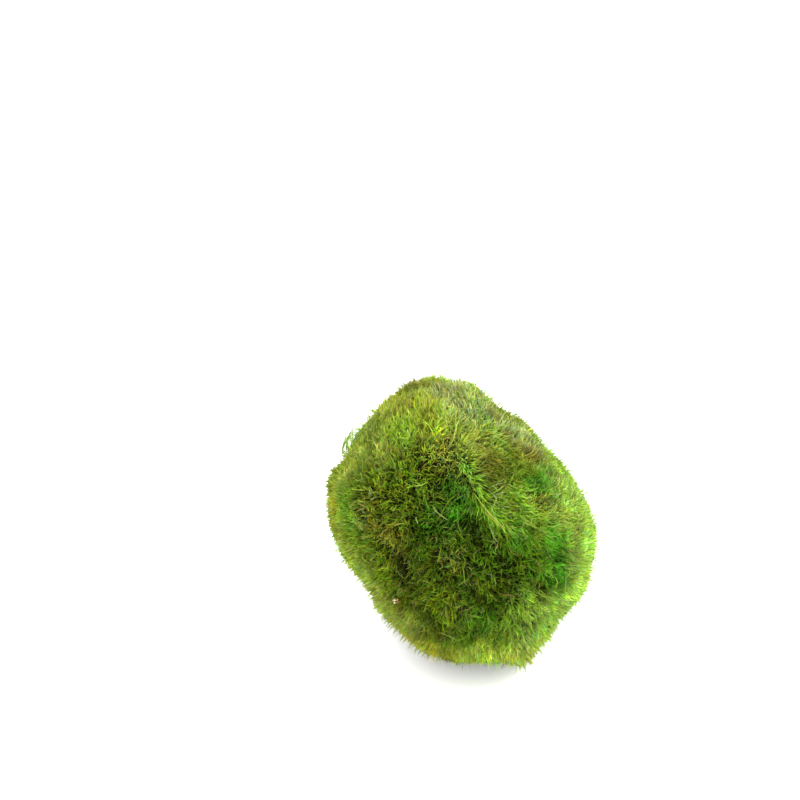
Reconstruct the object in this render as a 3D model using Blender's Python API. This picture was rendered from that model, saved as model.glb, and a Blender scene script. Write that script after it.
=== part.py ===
"""A marimo moss ball: a lumpy ball of water moss that rests on a small flat spot, and a grain of
sand caught in its pile. The ball is one solid that reaches the tips of its filaments.

Lengths are in millimetres until a mesh is made, and in metres there. +Z is up and the ball's best
side faces -Y. The origin is on the surface that the ball rests on, under the middle of its box.
"""

import math

import bmesh
import bpy
import numpy as np
from mathutils import Vector, noise
from mathutils.bvhtree import BVHTree

MM = 0.001

# The outline is the ball's edge as seen from the front and from OUTLINE_TILT degrees above the
# horizon. Each point has the angle counter-clockwise from the right, in degrees, and the distance
# from the middle.
OUTLINE_TILT = 30.0
OUTLINE = (
    (0, 24.0),
    (20, 22.1),
    (45, 21.0),
    (70, 22.4),
    (90, 25.6),
    (104, 27.2),
    (118, 25.8),
    (135, 24.8),
    (150, 23.9),
    (163, 24.5),
    (180, 23.7),
    (210, 20.3),
    (240, 22.7),
    (265, 25.0),
    (282, 25.4),
    (295, 28.0),
    (304, 26.2),
    (314, 25.2),
    (336, 25.4),
)

# How far the ball reaches from the outline's plane, and how boxy its sections are: 2 is an ellipse
NEAR_DEPTH = 24.5
FAR_DEPTH = 23.5
BOXINESS = 2.2

# The flat spot lies this far below the middle
FOOT_DROP = 23.8

# Ridges (height above 0) and hollows (below 0) on the near side, along paths given as distances
# right and up from the middle, in the outline's plane: (path, width, height)
NEAR_RELIEF = (
    (((-6.3, 20.0), (-1.0, 13.8), (2.5, 8.7), (3.6, 4.2), (8.5, -1.2)), 2.2, 1.3),
    (((-3.4, 5.9), (-1.0, 0.0), (4.3, -3.9), (6.3, -7.5)), 2.6, -1.4),
    (((1.0, 11.5), (9.9, 10.2), (13.5, 8.7)), 2.8, -0.9),
    (((15.5, 3.5),), 1.6, -0.8),
    (((17.0, -9.0), (19.0, -6.0), (20.0, -2.0)), 2.0, -1.0),
    (((6.3, -17.7), (2.5, -21.3)), 2.0, -0.9),
    (((-11.3, -5.7), (-10.3, -13.0), (-7.7, -17.0)), 2.0, -0.8),
    (((-15.8, 3.5),), 5.0, 0.8),
    (((-19.4, -5.7), (-11.0, -18.0)), 2.4, 0.6),
    (((11.7, -14.8), (14.8, -22.0)), 3.5, 0.8),
    (((12.0, 15.0),), 6.0, -0.6),
)

# The same on the far side, seen through the ball
FAR_RELIEF = (
    (((-14.0, 10.0), (-6.0, 5.0), (4.0, 6.0)), 2.6, 1.3),
    (((8.0, 12.0),), 3.5, -1.4),
    (((-9.0, -3.0), (-2.0, -8.0), (5.0, -9.0)), 2.4, -1.4),
    (((-4.0, 18.0), (2.0, 14.0)), 2.4, -1.0),
    (((2.0, -1.0),), 3.0, -1.0),
    (((13.0, -3.0),), 4.0, 1.1),
    (((-16.0, -4.0),), 4.0, 0.9),
    (((11.0, -13.0),), 3.0, -0.9),
    (((-8.0, -14.0),), 3.5, 0.8),
)

# Both fade out towards the outline, over this much of the way that their side faces
RELIEF_FADE = 0.35

# Small lumps all over
LUMP_SIZE = 8.0
LUMP_HEIGHT = 0.8

# Each subdivision makes four triangles of one: 5 gives sides of about 2 mm
BALL_SUBDIVISIONS = 5

# The grain of sand: its place right and up from the middle in the outline's plane, its three
# diameters, and how far its middle stands above the tips around it
GRAIN_PLACE = (-11.1, -13.5)
GRAIN_DIAMETERS = (1.2, 0.9, 1.0)
GRAIN_STANDS = 0.1
GRAIN_SUBDIVISIONS = 3
GRAIN_LUMP_HEIGHT = 0.06
GRAIN_GAP = 0.3

# Colour, roughness
MOSS_LOOK = ((0.135, 0.215, 0.025, 1.0), 0.9)
GRAIN_LOOK = ((0.52, 0.40, 0.19, 1.0), 0.55)


def clear_scene():
    """Removes every object that the open file holds."""
    for thing in list(bpy.data.objects):
        bpy.data.objects.remove(thing, do_unlink=True)


def make_material(name, look):
    """A Principled material of one colour."""
    colour, roughness = look
    material = bpy.data.materials.new(name)
    material.use_nodes = True
    shader = material.node_tree.nodes["Principled BSDF"]
    shader.inputs["Base Color"].default_value = colour
    shader.inputs["Roughness"].default_value = roughness
    shader.inputs["Metallic"].default_value = 0.0
    material.diffuse_color = colour
    return material


def make_object(name, mesh_builder, material):
    """Turns a bmesh in millimetres into a named object in metres, and frees the bmesh."""
    bmesh.ops.scale(mesh_builder, vec=(MM, MM, MM), verts=mesh_builder.verts)
    mesh = bpy.data.meshes.new(name)
    mesh_builder.to_mesh(mesh)
    mesh_builder.free()
    mesh.materials.append(material)
    mesh.shade_smooth()
    thing = bpy.data.objects.new(name, mesh)
    bpy.context.scene.collection.objects.link(thing)
    return thing


def outline_frame():
    """The outline's right, up and near directions, as the rows of a matrix."""
    tilt = math.radians(OUTLINE_TILT)
    right = (1.0, 0.0, 0.0)
    up = (0.0, math.sin(tilt), math.cos(tilt))
    near = (0.0, -math.cos(tilt), math.sin(tilt))
    return np.array((right, up, near))


def outline_radius(angle):
    """Distance from the middle to the outline at each angle, on a smooth closed curve."""
    degrees, radii = np.array(OUTLINE).T
    degrees = np.concatenate((degrees[-2:] - 360.0, degrees, degrees[:2] + 360.0))
    radii = np.concatenate((radii[-2:], radii, radii[:2]))
    knots = np.radians(degrees)
    slopes = np.gradient(radii, knots)
    angle = np.mod(angle, 2.0 * np.pi)
    start = np.searchsorted(knots, angle, side="right") - 1
    end = start + 1
    span = knots[end] - knots[start]
    t = (angle - knots[start]) / span
    from_start = (2.0 * t ** 3 - 3.0 * t ** 2 + 1.0) * radii[start]
    from_start += (t ** 3 - 2.0 * t ** 2 + t) * span * slopes[start]
    from_end = (3.0 * t ** 2 - 2.0 * t ** 3) * radii[end]
    from_end += (t ** 3 - t ** 2) * span * slopes[end]
    return from_start + from_end


def distance_to_path(points, path):
    """Shortest distance from each point of the outline's plane to a path of straight stretches."""
    corners = np.array(path)
    if len(corners) == 1:
        return np.linalg.norm(points - corners[0], axis=1)
    nearest = np.full(len(points), np.inf)
    for start, end in zip(corners[:-1], corners[1:]):
        along = end - start
        share = np.clip((points - start) @ along / (along @ along), 0.0, 1.0)
        gap = np.linalg.norm(points - start - share[:, None] * along, axis=1)
        nearest = np.minimum(nearest, gap)
    return nearest


def relief_height(points, facing, reliefs):
    """Height of one side's ridges and hollows: full where the side faces out, none at its edge."""
    fade = np.clip(facing / RELIEF_FADE, 0.0, 1.0)
    fade = fade * fade * (3.0 - 2.0 * fade)
    height = np.zeros(len(points))
    for path, width, rise in reliefs:
        height += rise * np.exp(-0.5 * (distance_to_path(points, path) / width) ** 2)
    return height * fade


def lump_height(points):
    """Height of the small lumps at each point."""
    heights = [noise.noise(Vector(point) / LUMP_SIZE) for point in points]
    return LUMP_HEIGHT * np.array(heights)


def ball_surface(directions):
    """The ball's surface in each direction from its middle, before the flat spot is made."""
    right, up, near = outline_frame() @ directions.T
    sideways = np.hypot(right, up)
    edge = outline_radius(np.arctan2(up, right))
    depth = np.where(near > 0.0, NEAR_DEPTH, FAR_DEPTH)
    radius = ((sideways / edge) ** BOXINESS + (np.abs(near) / depth) ** BOXINESS) ** (-1.0 / BOXINESS)
    in_plane = np.stack((right * radius, up * radius), axis=1)
    radius += relief_height(in_plane, near, NEAR_RELIEF)
    radius += relief_height(in_plane, -near, FAR_RELIEF)
    radius += lump_height(directions * radius[:, None])
    return directions * radius[:, None]


def build_ball():
    """The moss ball as a bmesh, with its flat spot as one face at height 0."""
    ball = bmesh.new()
    bmesh.ops.create_icosphere(ball, subdivisions=BALL_SUBDIVISIONS, radius=1.0)
    directions = np.array([vert.co.normalized() for vert in ball.verts])
    points = ball_surface(directions)
    points[:, 2] = np.maximum(points[:, 2] + FOOT_DROP, 0.0)
    middle = (points.min(axis=0) + points.max(axis=0)) / 2.0
    points[:, :2] -= middle[:2]
    for vert, point in zip(ball.verts, points):
        vert.co = point
    foot = [face for face in ball.faces if max(vert.co.z for vert in face.verts) == 0.0]
    bmesh.ops.dissolve_faces(ball, faces=foot, use_verts=True)
    ball.normal_update()
    return ball, Vector((-middle[0], -middle[1], FOOT_DROP))


def grain_seat(ball, middle):
    """Where the grain's line of sight meets the ball, and the ball's normal there."""
    right, up, near = (Vector(row) for row in outline_frame())
    across, height = GRAIN_PLACE
    start = middle + right * across + up * height + near * 2.0 * NEAR_DEPTH
    tree = BVHTree.FromBMesh(ball)
    place, normal, _, _ = tree.ray_cast(start, -near)
    return place, normal


def build_grain(place, normal, extra):
    """The grain as a bmesh, grown by extra on every side and seated at its place."""
    grain = bmesh.new()
    bmesh.ops.create_icosphere(grain, subdivisions=GRAIN_SUBDIVISIONS, radius=1.0)
    turn = normal.to_track_quat("Z", "Y").to_matrix()
    middle = place + normal * GRAIN_STANDS
    for vert in grain.verts:
        bump = GRAIN_LUMP_HEIGHT * noise.noise(vert.co * 2.0)
        half = [diameter / 2.0 + extra for diameter in GRAIN_DIAMETERS]
        local = Vector([reach * part for reach, part in zip(half, vert.co)]) + vert.co * bump
        vert.co = middle + turn @ local
    return grain


def main():
    clear_scene()
    moss = make_material("moss", MOSS_LOOK)
    sand = make_material("sand", GRAIN_LOOK)

    ball_mesh, middle = build_ball()
    place, normal = grain_seat(ball_mesh, middle)
    ball = make_object("moss_ball", ball_mesh, moss)
    make_object("sand_grain", build_grain(place, normal, 0.0), sand)

    # The grain sits in a dimple that clears it all round
    dimple = make_object("dimple_cutter", build_grain(place, normal, GRAIN_GAP), moss)
    dimple.hide_render = True
    dimple.display_type = "WIRE"
    cut = ball.modifiers.new("dimple", "BOOLEAN")
    cut.operation = "DIFFERENCE"
    cut.solver = "EXACT"
    cut.object = dimple


main()
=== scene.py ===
"""Looks of the marimo moss ball: a dense pile of fine green filaments grown on a dark mat."""

import math
from collections import namedtuple

import bmesh
import bpy
import numpy as np
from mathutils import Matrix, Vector
from mathutils.bvhtree import BVHTree
from mathutils.kdtree import KDTree


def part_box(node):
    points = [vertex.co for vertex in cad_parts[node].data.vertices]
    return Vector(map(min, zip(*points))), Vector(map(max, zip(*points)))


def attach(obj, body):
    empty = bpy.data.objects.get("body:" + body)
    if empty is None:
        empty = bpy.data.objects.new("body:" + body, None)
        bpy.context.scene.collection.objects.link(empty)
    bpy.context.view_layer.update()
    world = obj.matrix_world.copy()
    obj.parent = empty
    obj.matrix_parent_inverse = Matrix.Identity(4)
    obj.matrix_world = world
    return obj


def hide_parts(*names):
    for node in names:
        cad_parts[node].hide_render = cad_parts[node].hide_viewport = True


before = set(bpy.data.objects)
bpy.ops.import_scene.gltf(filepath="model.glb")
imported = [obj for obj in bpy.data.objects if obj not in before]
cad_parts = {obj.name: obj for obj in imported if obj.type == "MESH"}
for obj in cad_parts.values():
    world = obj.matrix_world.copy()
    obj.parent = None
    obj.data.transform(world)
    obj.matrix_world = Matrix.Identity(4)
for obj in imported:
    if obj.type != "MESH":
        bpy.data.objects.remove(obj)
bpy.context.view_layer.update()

MM = 0.001
SEED = 11

# The photograph is PHOTO_SIZE pixels square. A pixel spans PIXEL at the ball, whose middle is
# at BALL_PIXEL, and the camera looks down by VIEW_ELEVATION.
PHOTO_SIZE = 800
PIXEL = 0.18 * MM
BALL_PIXEL = (461, 515)
VIEW_ELEVATION = math.radians(30.0)
LENS = 100.0
SENSOR = 36.0
CLIP_START = 0.01
CLIP_END = 50.0

# Filament tip colours, as sRGB values
LIME = (196, 218, 92)
# SHEEN_PALE is green paled by a painted sheen.
SHEEN_PALE = (196, 214, 124)
# RIM_SHEEN_GREEN is green with a paler, bluer painted rim sheen, used along the edges.
RIM_SHEEN_GREEN = (184, 218, 98)
HONEY = (204, 216, 80)
GOLD = (204, 208, 78)
LEAF = (160, 200, 64)
FERN = (100, 172, 40)
SPRING = (180, 230, 80)
OLIVE = (176, 180, 56)
MOSS = (144, 172, 40)
DEEP = (104, 150, 26)
# SHADE is painted shade, used under the ball.
SHADE = (120, 126, 28)
# HOLLOW_SHADE is painted shade, laid in the sunk hollows.
HOLLOW_SHADE = (52, 72, 16)
STRAW = (206, 204, 132)
THREAD = (170, 198, 108)
# GLINT_GREY is a pale grey that paints glints.
GLINT_GREY = (184, 190, 142)
BROWN = (150, 130, 66)

# The pile on the visible side. Each region has its pixel in the photograph, the colour of its
# tips and how bright it is, the way the tips lean in the picture (right, up), how far they lean in
# millimetres, and how tangled they are, from 0, combed, to 1, every way. How bright a region is
# holds its own tone and painted light: lighter at the edges, darker in the middle facing the camera.
SEEN_REGIONS = (
    ((418, 386), HONEY, 0.5, (-0.6, 0.9), 2.2, 0.4),
    ((450, 390), SHEEN_PALE, 0.8, (-0.4, 1.0), 2.0, 0.45),
    ((425, 405), HONEY, 0.8, (-0.3, 1.0), 3.0, 0.35),
    ((400, 402), HONEY, 0.8, (0.1, 1.0), 2.8, 0.45),
    ((445, 418), HONEY, 0.95, (-0.1, 1.0), 2.4, 0.45),
    ((385, 420), LIME, 0.85, (0.5, 0.9), 2.6, 0.45),
    ((400, 432), LEAF, 1.05, (0.5, 0.9), 2.6, 0.45),
    ((365, 438), LIME, 0.7, (0.3, 1.0), 2.2, 0.45),
    ((352, 460), LIME, 0.8, (0.2, 1.0), 1.8, 0.45),
    ((450, 403), SHEEN_PALE, 0.65, (-0.3, 1.0), 2.0, 0.5),
    ((480, 402), SHEEN_PALE, 1.0, (-0.3, 1.0), 1.6, 0.65),
    ((470, 412), SHEEN_PALE, 1.0, (-0.2, 1.0), 1.6, 0.65),
    ((505, 420), SHEEN_PALE, 0.7, (0.2, 1.0), 1.5, 0.7),
    ((530, 440), SHEEN_PALE, 0.9, (0.2, 1.0), 1.2, 0.7),
    ((465, 440), LIME, 1.0, (0.5, 0.5), 1.8, 0.55),
    ((490, 440), LIME, 0.7, (0.7, 0.2), 2.6, 0.6),
    ((430, 440), HONEY, 1.15, (0.1, 0.7), 1.7, 0.6),
    ((408, 462), MOSS, 1.15, (0.5, 0.7), 1.8, 0.75),
    ((380, 455), LIME, 0.75, (0.3, 0.9), 2.0, 0.65),
    ((440, 458), HONEY, 0.7, (0.1, 0.2), 1.5, 0.7),
    ((455, 465), LIME, 0.85, (0.7, -0.5), 1.6, 0.65),
    ((485, 462), OLIVE, 0.6, (0.9, -0.3), 3.0, 0.45),
    ((515, 462), MOSS, 0.95, (1.0, -0.3), 3.2, 0.4),
    ((535, 455), OLIVE, 0.7, (0.6, 0.4), 1.6, 0.55),
    ((490, 478), MOSS, 0.55, (1.0, -0.4), 3.0, 0.45),
    ((550, 470), RIM_SHEEN_GREEN, 0.6, (0.1, 1.0), 1.4, 0.5),
    ((538, 482), FERN, 1.0, (0.5, 0.5), 1.4, 0.55),
    ((572, 492), RIM_SHEEN_GREEN, 0.85, (0.1, 1.0), 1.3, 0.45),
    ((515, 498), LEAF, 0.95, (1.0, -0.2), 2.8, 0.5),
    ((543, 502), LIME, 0.95, (0.8, 0.5), 1.4, 0.8),
    ((560, 515), LIME, 0.9, (0.7, 0.3), 1.4, 0.5),
    ((530, 518), LEAF, 0.75, (0.9, -0.4), 2.8, 0.55),
    ((515, 532), FERN, 0.9, (0.8, -0.6), 2.8, 0.5),
    ((582, 515), RIM_SHEEN_GREEN, 0.95, (0.6, 0.5), 1.1, 0.45),
    ((560, 496), RIM_SHEEN_GREEN, 1.0, (0.5, 0.6), 1.5, 0.5),
    ((586, 540), RIM_SHEEN_GREEN, 1.05, (0.4, 0.6), 1.0, 0.45),
    ((556, 535), FERN, 1.45, (0.9, -0.4), 2.4, 0.55),
    ((580, 566), RIM_SHEEN_GREEN, 0.9, (0.8, -0.1), 1.1, 0.5),
    ((558, 556), FERN, 0.8, (0.9, -0.3), 1.6, 0.6),
    ((535, 565), DEEP, 1.35, (0.8, -0.4), 1.8, 0.85),
    ((372, 480), MOSS, 1.1, (0.3, 0.9), 1.5, 0.85),
    ((342, 496), LEAF, 0.75, (-0.6, 0.3), 1.0, 0.5),
    ((362, 515), LIME, 0.85, (-0.7, 0.0), 1.6, 0.85),
    ((345, 528), LEAF, 0.95, (-0.9, 0.1), 0.9, 0.5),
    ((380, 512), MOSS, 0.85, (-0.5, -0.2), 1.8, 1.0),
    ((395, 500), MOSS, 0.95, (-0.5, -0.2), 1.8, 1.0),
    ((385, 530), OLIVE, 0.8, (-0.5, -0.2), 1.8, 1.0),
    ((410, 485), MOSS, 1.25, (0.3, 0.2), 1.8, 0.9),
    ((430, 485), MOSS, 1.4, (0.6, -0.2), 2.0, 0.9),
    ((455, 490), FERN, 0.95, (0.3, -0.8), 2.2, 0.75),
    ((448, 515), FERN, 0.8, (0.1, -0.8), 2.2, 0.9),
    ((420, 530), DEEP, 0.9, (-0.1, -0.8), 2.2, 0.95),
    ((455, 560), MOSS, 0.75, (0.1, -0.9), 2.0, 0.9),
    ((435, 580), MOSS, 0.85, (0.0, -0.9), 2.0, 0.9),
    ((490, 560), DEEP, 1.5, (0.4, -0.8), 2.0, 0.9),
    ((502, 534), MOSS, 0.9, (0.5, -0.7), 2.0, 0.8),
    ((478, 570), DEEP, 0.9, (0.1, -0.9), 2.0, 0.95),
    ((462, 590), DEEP, 0.6, (0.1, -0.9), 1.8, 0.95),
    ((500, 604), DEEP, 0.8, (0.3, -0.9), 1.8, 0.9),
    ((480, 590), MOSS, 1.1, (0.1, -0.9), 1.8, 0.9),
    ((365, 550), MOSS, 1.05, (-1.0, -0.1), 1.2, 0.7),
    ((345, 548), LIME, 0.8, (-1.0, -0.1), 0.8, 0.45),
    ((372, 592), LIME, 0.8, (-0.9, -0.5), 0.8, 0.45),
    ((392, 585), MOSS, 1.1, (-0.4, -0.9), 1.4, 0.8),
    ((415, 600), MOSS, 0.75, (-0.4, -0.9), 1.4, 0.8),
    ((400, 622), LIME, 0.7, (-0.7, -0.7), 1.2, 0.55),
    ((440, 636), MOSS, 0.7, (-0.2, -1.0), 1.4, 0.7),
    ((424, 650), OLIVE, 1.15, (-0.5, -1.0), 1.2, 0.5),
    ((445, 618), MOSS, 1.15, (-0.1, -1.0), 1.6, 0.75),
    ((462, 620), LEAF, 0.9, (0.0, -1.0), 1.6, 0.8),
    ((443, 602), MOSS, 1.15, (0.0, -1.0), 1.8, 0.85),
    ((484, 620), DEEP, 1.25, (0.1, -1.0), 1.6, 0.8),
    ((510, 660), LIME, 1.1, (0.2, -1.0), 1.0, 0.6),
    ((465, 640), DEEP, 1.1, (0.0, -1.0), 1.4, 0.75),
    ((480, 652), LIME, 1.2, (0.1, -1.0), 1.2, 0.6),
    ((500, 638), LEAF, 1.0, (0.2, -1.0), 1.4, 0.65),
    ((530, 595), LEAF, 0.85, (0.7, -0.9), 1.6, 0.7),
    ((560, 582), FERN, 1.05, (0.8, -0.5), 1.4, 0.6),
    ((575, 592), RIM_SHEEN_GREEN, 0.95, (0.7, -0.2), 1.1, 0.5),
    ((548, 610), RIM_SHEEN_GREEN, 1.05, (0.6, -0.8), 1.3, 0.6),
    ((525, 645), RIM_SHEEN_GREEN, 0.8, (0.2, -1.0), 1.4, 0.6),
)

# Lines and spots that stand out on that side: the pixels they pass, half their width in
# millimetres, colour, how strongly it shows, how far the tips are raised, or sunk, in
# millimetres, and how much the filaments lie along the line
Feature = namedtuple("Feature", "pixels width colour strength raised combed")
FEATURES = (
    (((458, 484), (466, 498), (476, 514), (488, 530)), 0.8, FERN, 0.5, -0.3, 0.8),
    (((463, 462), (473, 480), (480, 496), (491, 512), (505, 527)), 0.75, SPRING, 0.95, 0.45, 0.95),
    # The darkest lines below are sunk hollows painted with shade.
    (((432, 472), (426, 490), (421, 512)), 0.6, HOLLOW_SHADE, 0.25, -0.3, 0.0),
    (((472, 528), (477, 537), (480, 546)), 1.1, HOLLOW_SHADE, 0.65, -0.8, 0.0),
    (((398, 554), (401, 574)), 1.1, HOLLOW_SHADE, 0.95, -0.8, 0.0),
    (((403, 584), (407, 594), (409, 604)), 0.8, HOLLOW_SHADE, 0.55, -0.4, 0.0),
    (((505, 564), (508, 574), (511, 584)), 0.9, HOLLOW_SHADE, 0.45, -0.6, 0.0),
    (((465, 586), (480, 598), (484, 606)), 0.7, HOLLOW_SHADE, 0.3, -0.4, 0.0),
    (((536, 580), (544, 590), (549, 602)), 0.9, HOLLOW_SHADE, 0.45, -0.4, 0.0),
    (((410, 398), (409, 412)), 0.35, HOLLOW_SHADE, 0.45, -0.6, 0.0),
    (((540, 496), (546, 506)), 0.45, HOLLOW_SHADE, 0.4, -0.4, 0.0),
    (((440, 640), (460, 644)), 0.7, HOLLOW_SHADE, 0.3, -0.2, 0.0),
    (((506, 624), (516, 610), (528, 598)), 0.9, SPRING, 0.5, 0.3, 0.2),
    (((515, 622), (530, 628), (538, 620)), 0.6, HOLLOW_SHADE, 0.3, -0.3, 0.0),
    (((444, 556), (454, 560), (463, 564)), 0.8, THREAD, 0.4, 0.2, 0.0),
)

# Spots where pale grey filaments among the green ones are painted glints: pixel, radius in
# millimetres, share
GLINT_SPOTS = (
    ((462, 402), 2.0, 0.15),
    ((500, 412), 2.5, 0.2),
    ((528, 436), 2.5, 0.25),
    ((545, 450), 1.5, 0.2),
    ((494, 490), 1.0, 0.2),
)

# Single long filaments that stand out: colour and the pixels that they pass
LONG_STRANDS = (
    (THREAD, ((431, 505), (439, 514), (449, 521))),
    (MOSS, ((456, 531), (461, 536), (466, 542))),
    (MOSS, ((460, 492), (450, 500), (442, 513), (436, 523))),
    (MOSS, ((441, 545), (440, 553), (437, 564))),
    (MOSS, ((462, 564), (464, 574), (465, 584))),
    (THREAD, ((489, 523), (493, 535), (498, 543))),
    # The next two short loops are real filaments whose pale colour is a painted glint.
    (THREAD, ((488, 488), (494, 487), (498, 493))),
    (THREAD, ((490, 499), (494, 496), (497, 501))),
    (GOLD, ((483, 511), (493, 520), (506, 531))),
    (STRAW, ((486, 512), (496, 520), (505, 529))),
    (GOLD, ((481, 503), (490, 515), (502, 526))),
    (LIME, ((474, 492), (483, 506), (494, 518))),
    (THREAD, ((415, 517), (417, 520), (418, 524))),
    (BROWN, ((537, 562), (539, 567), (541, 574))),
    (BROWN, ((500, 596), (507, 594), (516, 597))),
    (LEAF, ((557, 577), (556, 584), (555, 590))),
    (LEAF, ((542, 592), (546, 596), (550, 602))),
    (BROWN, ((410, 398), (409, 404), (408, 412))),
)

# A loose sprig that stands off the upper left edge: the pixels that its stems pass, and how many
# strands follow each stem
SPRIG_STEMS = (
    ((344, 456), (343, 447), (348, 436), (354, 426), (357, 414)),
    ((348, 452), (347, 444), (352, 434), (359, 425), (365, 413)),
    ((350, 450), (346, 441), (344, 433), (345, 422)),
    ((354, 446), (351, 438), (350, 430), (347, 421)),
    ((358, 440), (357, 433), (361, 426), (368, 418)),
    ((378, 413), (373, 411), (370, 408), (367, 404)),
)
SPRIG_STRANDS = 7

# The pile on the other sides: azimuth from the front, towards the right, and elevation, in
# degrees. It leans downwards.
HIDDEN_REGIONS = (
    ((100, 35), LEAF, 1.6, 0.45),
    ((100, -10), MOSS, 1.2, 0.6),
    ((130, 10), LEAF, 2.2, 0.35),
    ((135, 60), MOSS, 1.6, 0.35),
    ((160, 30), MOSS, 1.8, 0.5),
    ((165, -5), DEEP, 1.4, 0.8),
    ((190, 50), LEAF, 2.4, 0.3),
    ((200, 10), MOSS, 1.4, 0.7),
    ((195, -30), DEEP, 1.2, 0.8),
    ((225, 30), LIME, 1.8, 0.35),
    ((235, 0), MOSS, 1.2, 0.8),
    ((260, 25), MOSS, 1.6, 0.45),
    ((265, -20), LEAF, 1.4, 0.45),
    ((290, 10), OLIVE, 1.4, 0.6),
    # The lowest regions are painted with shade, under the ball.
    ((120, -45), SHADE, 1.0, 0.6),
    ((0, -80), SHADE, 0.8, 0.6),
    ((250, -50), SHADE, 1.0, 0.6),
)

# Pairs named BY_TANGLE hold a value where the pile is combed and where it is tangled, those
# named RANGE the least and most of a random value, and WAVES sizes in millimetres and heights.

# The pile is PILE_DEPTH deep, times DEPTH_RANGE. The mat lies a little above the filaments'
# roots, and its depth swells by MAT_WAVES.
PILE_DEPTH = 2.3 * MM
DEPTH_RANGE = (0.95, 1.15)
MAT_DEPTH = 2.0 * MM
MAT_WAVES = ((3.0, 0.10), (1.2, 0.06))
MAT_SUBDIVISIONS = 6

# Layers of the pile: how many filaments are tried, points along each, the shares kept where the
# pile is tangled, combed and short, how far the tips are sunk and the radius in millimetres, the
# share of the region's lean, and the brightness: the sunk fill layer is darker as painted shade,
# the raised layer lighter
Layer = namedtuple("Layer", "tried levels shares sunk radius reach brightness")
LAYERS = (
    Layer(29000, 5, (1.0, 0.30, 0.10), (0.0, 0.0), (0.07, 0.105), 1.0, 1.0),
    Layer(38000, 4, (0.0, 0.90, 0.15), (0.0, 0.3), (0.07, 0.105), 1.0, 1.0),
    Layer(50000, 3, (0.1, 0.20, 1.00), (0.0, 0.3), (0.07, 0.110), 1.0, 1.0),
    Layer(54000, 2, (0.8, 0.90, 0.90), (0.4, 1.1), (0.08, 0.125), 1.0, 0.75),
    Layer(8500, 3, (0.4, 0.90, 1.00), (-1.6, -0.2), (0.05, 0.07), 0.7, 1.15),
)

# The pile goes from untangled to tangled over TANGLE_SPAN and, where it isn't tangled, from
# short to combed over LEAN_SPAN
TANGLE_SPAN = (0.50, 0.80)
LEAN_SPAN = (1.2 * MM, 2.0 * MM)

# CAD points that agree to this many digits of a metre are one
MERGED_DIGITS = 7

# The smooth random fields: how many waves each sums, and how their frequencies vary
WAVE_COUNT = 14
WAVE_RANGE = (0.5, 1.3)

# Each place's growth is looked up a little beside it, by waves with heights in millimetres, so
# that the regions' borders wander. Neighbouring regions blend over REGION_BLEND, the more
# sharply the higher the power. Filaments along a combed line have its lean and tangle.
WANDER_WAVES = ((9.0, 0.4), (3.0, 0.4))
REGION_BLEND = 1.2 * MM
REGION_POWER = 2.5
LINE_POINTS = 25
COMBED_LEAN = 2.4 * MM
COMBED_TANGLE = 0.1

# The way that filaments lean, and how their roots are spread
DIRECTION_JITTER = 0.8
DRIFT_SIZE = 6.0 * MM
DRIFT_SHARE = 0.25
LAY_BY_TANGLE = (1.0, 0.2)
RANDOM_BY_TANGLE = (0.1, 0.9)

# A filament's form: it rises early and leans over late, as powers of the share of its length. Its
# points lie closer towards the tip, which is TAPER thinner than the root.
RISE_POWER = 1.8
LEAN_POWER = 1.5
POINTS_POWER = 0.8
TAPER = 0.4
SIDES = 3
LEAN_RANGE = (0.4, 1.3)
CURL_BY_TANGLE = (0.12 * MM, 0.38 * MM)
CURL_RANGE = (0.5, 1.5)
CURL_FLATNESS_RANGE = (0.4, 1.0)
CURL_TURNS_RANGE = (0.5, 1.3)
CURL_POWER = 0.7

# The tips' heights: swells in their surface, how far above it they start, and how far they drop
SWELL_WAVES = ((7.0, 0.10), (3.4, 0.24))
SWELL_BY_TANGLE = (0.4, 1.3)
TIPS_ABOVE = 0.22 * MM
DROP_SHAPE = 1.6
DROP_SIZE = 0.18 * MM
UNEVEN_BY_TANGLE = (0.6, 2.0)

# The tufts: how they lean, rise and pull on their filaments, and how their colours vary
TUFTS = 6000
TUFT_LEAN_RANGE = (0.6, 1.3)
TUFT_RISE = 0.16 * MM
TUFT_GRIP_RANGE = (0.1, 0.55)
GRIP_BY_TANGLE = (0.4, 1.0)
GRIP_RANGE = (0.4, 1.0)
GRIP_POWER = 1.2
TUFT_LIGHT = 0.10
TUFT_WARMTH = 0.05

# How filaments vary in light, warmth (red against green) and blue, and the shares that are straw
# or brown. Roots are painted darker, as the shade deep in the pile: a share as bright as the tips,
# the less the darker the region is.
LIGHT_WAVES = ((5.0, 0.12), (2.6, 0.12))
LIGHT_WAVES_BY_TANGLE = (0.5, 1.3)
LIGHT_BY_TANGLE = (0.06, 0.18)
WARMTH_WAVES = ((6.0, 0.04), (2.4, 0.03))
WARMTH_BY_TANGLE = (0.08, 0.20)
BLUE_MEAN = -0.15
BLUE_SPREAD = 0.40
STRAW_SHARE = 0.06
STRAW_BLEND = 0.5
STRAW_BRIGHTEST = 1.2
BROWN_BY_TANGLE = (0.01, 0.03)
BROWN_IN_GLINT_SPOTS = 0.2
ROOT_GREENS = (0.25, 0.60)
ROOT_SHADE_BRIGHTNESS = (0.12, 0.70)
SHADE_POWER = 0.8

# Loose filaments across the others
STRAYS = 160
STRAY_POINTS = 7
LOWEST_STRAY = -0.4
STRAY_TANGLE = 0.9
STRAY_REACH_RANGE = (2.5 * MM, 5.5 * MM)
STRAY_RISE_RANGE = (-0.2 * MM, 0.6 * MM)
STRAY_DEPTH = 1.2 * MM
STRAY_CURL_RANGE = (0.2 * MM, 0.7 * MM)
STRAY_RADIUS_RANGE = (0.07 * MM, 0.10 * MM)
STRAY_LIGHT = (0.1, 0.25)
STRAY_STRAW = 0.3
STRAY_BROWN = 0.06
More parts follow.
